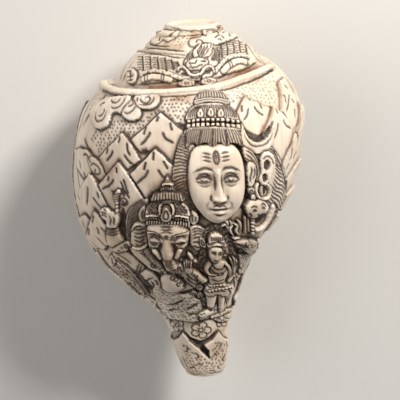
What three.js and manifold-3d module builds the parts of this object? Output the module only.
// A carved sacred chank shell (Turbinella pyrum), lying on its mouth side with the carved back up.
// Millimetres. +Y runs along the shell's axis to the cut-off apex, +Z is up through the carved back,
// and +X is the carved scene's right. The origin is under the middle of the shell's box, on the
// surface it rests on.
//
// The shell is right-handed: seen from the apex it grows clockwise. A "turn" counts whorls back from
// the lip, so the lip is at turn 0 and the suture one whorl above it is at turn 1.
import * as THREE from "three";
import { mergeVertices } from "three/addons/utils/BufferGeometryUtils.js";
import Module from "manifold-3d";

// Driving dimensions.
const APEX_Y = 93.9; // top of the rim around the cut-off apex
const TIP_Y = -93.7; // cut end of the siphonal canal
const DISC_R = 13.9; // rim around the cut-off apex
const DISH_R = 11.0; // shallow dish inside that rim
const DISH_DEPTH = 1.4;
const NECK_Y = 91.0; // foot of the rim, where the spire begins
const LIP_ANGLE = -135; // degrees from straight up, towards +X, to the edge of the outer lip
const MOUTH_TURN = 0.828; // where the flat mouth side begins, in turns back from the lip
const FLOOR_Z = -45; // the flat spot that the shell rests on, from the axis
const REST_OFFSET_X = 4.34; // the box's middle lies this far from the axis
const REST_OFFSET_Y = -0.1;
const CANAL_ANGLE = -150; // the way the siphonal canal's slot opens
const CANAL_BACK = 2; // how far the slot passes the axis
const COLOUR = 0xe6d8c0;
const ROUGHNESS = 0.5;

// Mesh steps.
const FRONT_HALF = 75; // degrees either side of straight up that hold the figures, where steps are finer
const FRONT_STEPS = 44;
const BACK_STEPS = 35;
const SPIRE_STEPS = 12;
const BODY_STEPS = 34;
const CAVITY_SIDES = 22;
const CAVITY_STEPS = 22;

// The sutures' height and the radius of the raised edge below each, by turn.
const SUTURE_TOP = 95.4;
const SUTURE_DROP = 34;
const SUTURE_RATIO = 0.532;
const SUTURE_SAG = 3.2; // how far the last suture dips across the front
const SAG_TURN = 0.35;
const SAG_SPREAD = 0.14;
const EDGE_RADIUS = [
  [0, 49.8],
  [0.125, 48.4],
  [0.375, 44.8],
  [0.625, 40.2],
  [0.875, 34.5],
  [1.125, 29.3],
  [1.625, 26],
  [2.125, 19.4],
  [2.66, 15],
];
// The ledge between the raised edge and the whorl above it, and how far each spire whorl bulges.
const LEDGE_WIDTH = [
  [0, 7],
  [0.125, 8.6],
  [0.375, 7],
  [0.625, 5],
  [1.125, 4.5],
  [1.625, 2],
  [2.66, 1],
];
const LEDGE_RISE = 1.6;
const WALL_BULGE = 1.5;

// The body whorl's outline, [height, radius], at five turns. Rows match from one outline to the next.
const BODY = [
  {
    turn: 0,
    outline: [
      [58.5, 50.6], [50, 57.2], [40, 61.6], [28, 64.4], [14, 65.6], [0, 64.6], [-14, 60.6],
      [-27, 53.4], [-38, 42.8], [-48, 31], [-58, 22.6], [-70, 16.8], [-82, 12.8], [-93.7, 9],
    ],
  },
  {
    turn: 0.125,
    outline: [
      [59.5, 50.8], [51, 57.4], [41, 61], [28, 63.3], [15, 64.6], [2, 63.6], [-12, 60.4],
      [-25, 54.6], [-36, 46], [-46, 34.4], [-56, 23.8], [-68, 18.4], [-80, 14], [-93.7, 9.2],
    ],
  },
  {
    turn: 0.375,
    outline: [
      [63.5, 48.2], [57, 52], [46, 56.4], [33, 58.8], [18, 58.6], [5, 56.2], [-9, 51.2],
      [-22, 43.8], [-33, 35.4], [-44, 27], [-55, 20.8], [-68, 16.6], [-80, 13.6], [-93.7, 10.8],
    ],
  },
  {
    turn: 0.625,
    outline: [
      [68, 45.4], [61, 50.4], [51, 54.8], [43, 55.9], [30, 53.8], [17, 50.4], [4, 45.6],
      [-8, 38.2], [-20, 29], [-33, 23.6], [-48, 18.4], [-66, 14.2], [-80, 12.6], [-93.7, 10.8],
    ],
  },
  {
    turn: 1,
    outline: [
      [74.5, 35], [66, 41.4], [55, 47], [44, 49], [32, 48.2], [19, 45.2], [6, 40],
      [-7, 32.4], [-20, 25], [-33, 20.4], [-48, 16.8], [-66, 13.6], [-80, 12.2], [-93.7, 10.2],
    ],
  },
];

// The whorl's hollow, from outside the mouth back into the shell: the middle of each section across
// the axis, half its width, the middle of its height and half its height.
const HOLLOW = [
  { x: -20, z: -68, half: 18, y: 5, tall: 44 },
  { x: -21, z: -44, half: 17.5, y: 5, tall: 45 },
  { x: -30, z: -27, half: 17.5, y: 6, tall: 43 },
  { x: -39, z: -6, half: 16.5, y: 9, tall: 40 },
  { x: -36, z: 15, half: 16, y: 13, tall: 37 },
  { x: -22, z: 30, half: 15.5, y: 17, tall: 33 },
  { x: -2, z: 35, half: 15, y: 22, tall: 29 },
  { x: 17, z: 30, half: 14, y: 27, tall: 25 },
  { x: 29, z: 14, half: 12, y: 31, tall: 20 },
  { x: 30, z: -3, half: 8, y: 34, tall: 13 },
];
// The canal's slot: [height, half width].
const SLOT = [
  [-99, 2.6],
  [-70, 3],
  [-54, 4.2],
  [-42, 6.5],
  [-34, 8.5],
  [-26, 8],
  [-18, 4],
];
// The flat across the mouth dips by this share of its radius, so that only its two sides touch the ground.
const MOUTH_DIP = 0.09;

// The carving's main masses, as low domes on the back: middle, half sizes and rise.
const MASSES = [
  { x: 9.5, y: 20, halfX: 15, halfY: 23, rise: 4.2 }, // the large head
  { x: 7, y: 53, halfX: 13, halfY: 15, rise: 3 }, // its topknot
  { x: -14.5, y: -1, halfX: 13, halfY: 20, rise: 4.2 }, // the elephant's head
  { x: -15.5, y: 17, halfX: 10, halfY: 14, rise: 2.6 }, // its crown
  { x: -36, y: 0, halfX: 8, halfY: 16, rise: 2.4 }, // its raised arm
  { x: 32, y: 26, halfX: 6, halfY: 13, rise: 2.6 }, // the ear ornament
  { x: 27.5, y: 8, halfX: 7, halfY: 8, rise: 2.6 }, // the skull below it
  { x: 8.5, y: -23, halfX: 9, halfY: 20, rise: 3 }, // the small figure
];

const radians = THREE.MathUtils.degToRad;
const smooth = (x) => x * x * (3 - 2 * x);
const share = (x, low, high) => THREE.MathUtils.clamp((x - low) / (high - low), 0, 1);

// Straight interpolation in a list of [x, value] in rising x.
function lookUp(list, x) {
  const after = list.findIndex(([at]) => at >= x);
  if (after === 0) return list[0][1];
  if (after < 0) return list[list.length - 1][1];
  const [x0, v0] = list[after - 1];
  const [x1, v1] = list[after];
  return THREE.MathUtils.lerp(v0, v1, (x - x0) / (x1 - x0));
}

const sutureSag = (turn) => SUTURE_SAG * Math.exp(-(((turn - SAG_TURN) / SAG_SPREAD) ** 2));
const sutureHeight = (turn) => SUTURE_TOP - SUTURE_DROP * SUTURE_RATIO ** turn - sutureSag(turn);
const turnOf = (angle) => (((angle - LIP_ANGLE) / 360) % 1 + 1) % 1;

// The body whorl's outline at a turn: [height, radius] points, from the raised edge down.
function bodyOutline(turn) {
  const after = Math.max(1, BODY.findIndex((b) => b.turn >= turn));
  const [a, b] = [BODY[after - 1], BODY[after]];
  const t = (turn - a.turn) / (b.turn - a.turn);
  const edge = [sutureHeight(turn), lookUp(EDGE_RADIUS, turn)];
  const points = a.outline.map(([y, r], i) => [
    THREE.MathUtils.lerp(y, b.outline[i][0], t),
    THREE.MathUtils.lerp(r, b.outline[i][1], t),
  ]);
  return [edge, ...points].map(([y, r]) => new THREE.Vector2(y, r));
}

// The radius of the body whorl's outline at a height, from a smooth curve through its points.
function bodyRadius(turn, y) {
  const points = bodyOutline(turn);
  const below = points.findIndex((p) => p.x <= y);
  const i = THREE.MathUtils.clamp((below < 0 ? points.length : below) - 1, 0, points.length - 2);
  const [p0, p1] = [points[Math.max(i - 1, 0)], points[i]];
  const [p2, p3] = [points[i + 1], points[Math.min(i + 2, points.length - 1)]];
  const t = THREE.MathUtils.clamp((p1.x - y) / (p1.x - p2.x), 0, 1);
  const slope1 = ((p2.y - p0.y) / (p0.x - p2.x || 1)) * (p1.x - p2.x);
  const slope2 = ((p3.y - p1.y) / (p1.x - p3.x || 1)) * (p1.x - p2.x);
  const [t2, t3] = [t * t, t * t * t];
  const near = (2 * t3 - 3 * t2 + 1) * p1.y + (t3 - 2 * t2 + t) * slope1;
  return near + (3 * t2 - 2 * t3) * p2.y + (t3 - t2) * slope2;
}

// The spire's radius at a height above the raised edge: each whorl runs straight down to its ledge.
function spireRadius(turn, y) {
  let lower = turn;
  while (sutureHeight(lower + 1) < y) lower += 1;
  const [lowY, highY] = [sutureHeight(lower), sutureHeight(lower + 1)];
  const edge = lookUp(EDGE_RADIUS, lower);
  const foot = edge - lookUp(LEDGE_WIDTH, lower);
  const top = lookUp(EDGE_RADIUS, lower + 1);
  const wall = lowY + LEDGE_RISE;
  if (y < wall) return THREE.MathUtils.lerp(edge, foot, smooth(share(y, lowY, wall)));
  const up = share(y, wall, highY);
  return Math.max(THREE.MathUtils.lerp(foot, top, up) + WALL_BULGE * Math.sin(Math.PI * up), DISC_R - 0.6);
}

// How far the carving stands out of the back at a place across and along it.
function carving(x, y) {
  const away = (m) => Math.hypot((x - m.x) / m.halfX, (y - m.y) / m.halfY);
  return Math.max(...MASSES.map((m) => m.rise * smooth(1 - Math.min(1, away(m)))));
}

// The shell's radius at an angle from straight up and a height.
function shellRadius(angle, y) {
  const smoothRadius = plainRadius(angle, y);
  if (Math.cos(radians(angle)) < 0.05) return smoothRadius;
  return smoothRadius + carving(smoothRadius * Math.sin(radians(angle)), y);
}

function grownRadius(turn, y) {
  return y > sutureHeight(turn) ? spireRadius(turn, y) : bodyRadius(turn, y);
}

// The radius without the carving.
function plainRadius(angle, y) {
  const turn = turnOf(angle);
  const grown = grownRadius(turn, y);
  if (turn < MOUTH_TURN) return grown;
  // Across the mouth the surface is flat, from the whorl's underside to the lip.
  const lipEdge = grownRadius(0, y);
  const start = grownRadius(MOUTH_TURN, y);
  const [here, whole] = [radians((turn - MOUTH_TURN) * 360), radians((1 - MOUTH_TURN) * 360)];
  const reach = start * Math.sin(here) + lipEdge * Math.sin(whole - here);
  const chord = (start * lipEdge * Math.sin(whole)) / reach;
  const flat = chord * (1 - MOUTH_DIP * Math.sin((Math.PI * here) / whole));
  return THREE.MathUtils.lerp(flat, grown, smooth(share(y, 50, 62)));
}

// Heights from the apex rim down to the canal's end, closer together around the raised edge. Across
// the mouth they slide down from the last whorl's edge to the lip's.
function heights(turn) {
  const slide = smooth(share(turn, MOUTH_TURN, 1));
  const edge = THREE.MathUtils.lerp(sutureHeight(turn), sutureHeight(0), slide);
  const spire = Array.from({ length: SPIRE_STEPS }, (_, i) =>
    THREE.MathUtils.lerp(NECK_Y, edge + LEDGE_RISE, (i + 1) / SPIRE_STEPS),
  );
  const body = Array.from({ length: BODY_STEPS }, (_, i) =>
    THREE.MathUtils.lerp(edge - 0.3, TIP_Y, i / (BODY_STEPS - 1)),
  );
  return [NECK_Y, ...spire, edge + LEDGE_RISE / 2, edge, ...body];
}

// One closed surface: a ring of outlines, with a point at the middle of the dish and of the canal's end.
function shellSurface() {
  const position = [];
  const index = [];
  const backSpan = 360 - 2 * FRONT_HALF;
  const front = Array.from(
    { length: FRONT_STEPS },
    (_, i) => -FRONT_HALF + (2 * FRONT_HALF * i) / FRONT_STEPS,
  );
  const back = Array.from({ length: BACK_STEPS }, (_, i) => FRONT_HALF + (backSpan * i) / BACK_STEPS);
  const rim = [
    [APEX_Y - DISH_DEPTH, DISH_R - 1],
    [APEX_Y, DISH_R + 1],
    [APEX_Y - 0.6, DISC_R],
  ];
  const outlines = [...front, ...back].map((angle) => {
    const down = heights(turnOf(angle)).map((y) => [y, shellRadius(angle, y)]);
    return { angle, rows: [...rim, ...down] };
  });
  const rows = outlines[0].rows.length;
  for (const { angle, rows: outline } of outlines)
    for (const [y, r] of outline)
      position.push(r * Math.sin(radians(angle)), y, r * Math.cos(radians(angle)));
  const [top, bottom] = [position.length / 3, position.length / 3 + 1];
  position.push(0, APEX_Y - DISH_DEPTH, 0, 0, TIP_Y, 0);
  for (let i = 0; i < outlines.length; i++) {
    const [here, next] = [i * rows, ((i + 1) % outlines.length) * rows];
    index.push(top, here, next, bottom, next + rows - 1, here + rows - 1);
    for (let j = 0; j < rows - 1; j++)
      index.push(here + j, here + j + 1, next + j, next + j, here + j + 1, next + j + 1);
  }
  return new THREE.BufferGeometry()
    .setAttribute("position", new THREE.Float32BufferAttribute(position, 3))
    .setIndex(index);
}

// The hollow is an oval tube through the sections of HOLLOW, closed by a point at each end.
function hollowSurface() {
  const along = (key) =>
    new THREE.SplineCurve(HOLLOW.map((s, i) => new THREE.Vector2(i, s[key])));
  const curves = Object.fromEntries(["x", "z", "half", "y", "tall"].map((k) => [k, along(k)]));
  const value = (key, t) => curves[key].getPoint(t).y;
  const position = [];
  const index = [];
  for (let i = 0; i <= CAVITY_STEPS; i++) {
    const t = i / CAVITY_STEPS;
    const step = 0.01;
    const [t0, t1] = [Math.max(0, t - step), Math.min(1, t + step)];
    const ahead = new THREE.Vector2(
      value("x", t1) - value("x", t0),
      value("z", t1) - value("z", t0),
    ).normalize();
    for (let j = 0; j < CAVITY_SIDES; j++) {
      const around = (2 * Math.PI * j) / CAVITY_SIDES;
      const across = value("half", t) * Math.cos(around);
      position.push(
        value("x", t) + ahead.y * across,
        value("y", t) + value("tall", t) * Math.sin(around),
        value("z", t) - ahead.x * across,
      );
    }
  }
  const ends = [0, CAVITY_STEPS].map((i) => {
    const t = i / CAVITY_STEPS;
    position.push(value("x", t), value("y", t), value("z", t));
    return position.length / 3 - 1;
  });
  for (let j = 0; j < CAVITY_SIDES; j++) {
    const next = (j + 1) % CAVITY_SIDES;
    const last = CAVITY_STEPS * CAVITY_SIDES;
    index.push(ends[0], next, j, ends[1], last + j, last + next);
    for (let i = 0; i < CAVITY_STEPS; i++) {
      const [a, b] = [i * CAVITY_SIDES, (i + 1) * CAVITY_SIDES];
      index.push(a + j, a + next, b + j, a + next, b + next, b + j);
    }
  }
  return new THREE.BufferGeometry()
    .setAttribute("position", new THREE.Float32BufferAttribute(position, 3))
    .setIndex(index);
}

// The canal's slot is a wedge, wide at the mouth and narrow at the tip, pushed out of the shell's underside.
function slotSurface() {
  const side = SLOT.map(([y, w]) => new THREE.Vector2(w, y));
  const other = SLOT.map(([y, w]) => new THREE.Vector2(-w, y)).reverse();
  const slot = new THREE.ExtrudeGeometry(new THREE.Shape([...side, ...other]), {
    depth: 80,
    bevelEnabled: false,
  });
  return slot.translate(0, 0, -CANAL_BACK).rotateY(radians(CANAL_ANGLE));
}

const wasm = await Module();
wasm.setup();

// A closed solid from a geometry, turned so that its faces point outwards.
function solid(geometry) {
  const bare = geometry.index ? geometry.toNonIndexed() : geometry.clone();
  bare.deleteAttribute("normal");
  bare.deleteAttribute("uv");
  const merged = mergeVertices(bare, 1e-4);
  const made = new wasm.Manifold(
    new wasm.Mesh({
      numProp: 3,
      vertProperties: new Float32Array(merged.attributes.position.array),
      triVerts: new Uint32Array(merged.index.array),
    }),
  );
  if (made.volume() > 0) return made;
  const order = merged.index.array;
  for (let i = 0; i < order.length; i += 3) [order[i], order[i + 1]] = [order[i + 1], order[i]];
  return new wasm.Manifold(
    new wasm.Mesh({
      numProp: 3,
      vertProperties: new Float32Array(merged.attributes.position.array),
      triVerts: new Uint32Array(order),
    }),
  );
}

function geometryOf(made) {
  const mesh = made.getMesh();
  const geometry = new THREE.BufferGeometry()
    .setAttribute("position", new THREE.BufferAttribute(new Float32Array(mesh.vertProperties), 3))
    .setIndex(new THREE.BufferAttribute(new Uint32Array(mesh.triVerts), 1));
  geometry.computeVertexNormals();
  return geometry;
}

function chankShell() {
  const ground = new THREE.BoxGeometry(300, 300, 100).translate(0, 0, FLOOR_Z - 50);
  return solid(shellSurface())
    .subtract(solid(hollowSurface()))
    .subtract(solid(slotSurface()))
    .subtract(solid(ground));
}

const shell = new THREE.Mesh(
  geometryOf(chankShell()),
  new THREE.MeshStandardMaterial({ color: COLOUR, roughness: ROUGHNESS, metalness: 0 }),
);
shell.name = "chank_shell";
shell.position.set(REST_OFFSET_X, REST_OFFSET_Y, -FLOOR_Z);

const part = new THREE.Group();
part.add(shell);

export default part;
